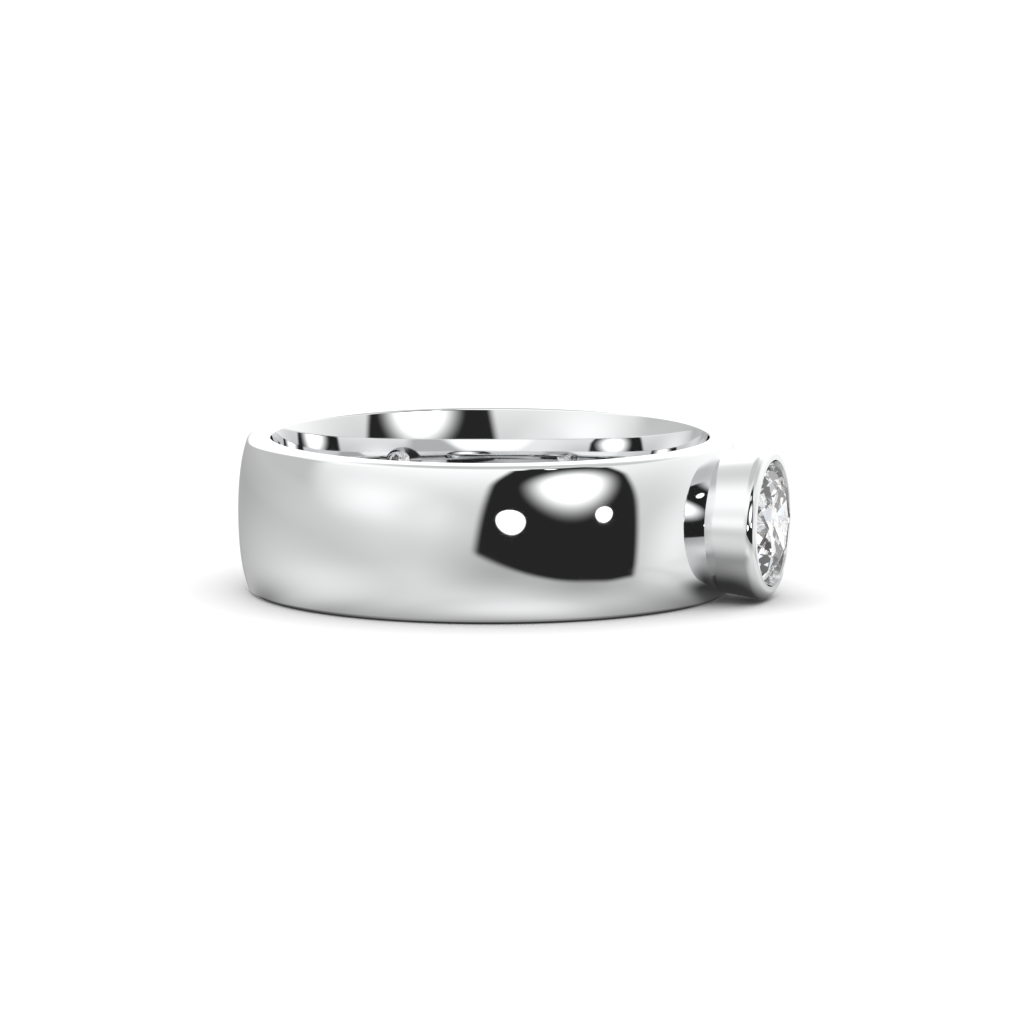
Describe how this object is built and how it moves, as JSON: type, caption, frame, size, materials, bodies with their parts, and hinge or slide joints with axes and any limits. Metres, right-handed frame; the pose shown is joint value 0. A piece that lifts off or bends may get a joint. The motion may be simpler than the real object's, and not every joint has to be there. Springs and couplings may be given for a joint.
{
  "type": "bezel set ring",
  "caption": "Finger ring: a wide domed polished band with a comfort curve inside and a round faceted stone held in a tapered bezel cup.",
  "frame": {"origin": "middle of the finger hole, on its axis, halfway between the two edges of the band", "axes": "+Z along the finger, +X from the finger's axis through the middle of the stone"},
  "size_m": [0.0214, 0.0196, 0.006],
  "materials": {
    "metal": "mirror polished white gold",
    "stone": "clear, cut and polished"
  },
  "bodies": {
    "root": {"band_and_bezel": "metal", "stone": "stone"}
  },
  "joints": []
}
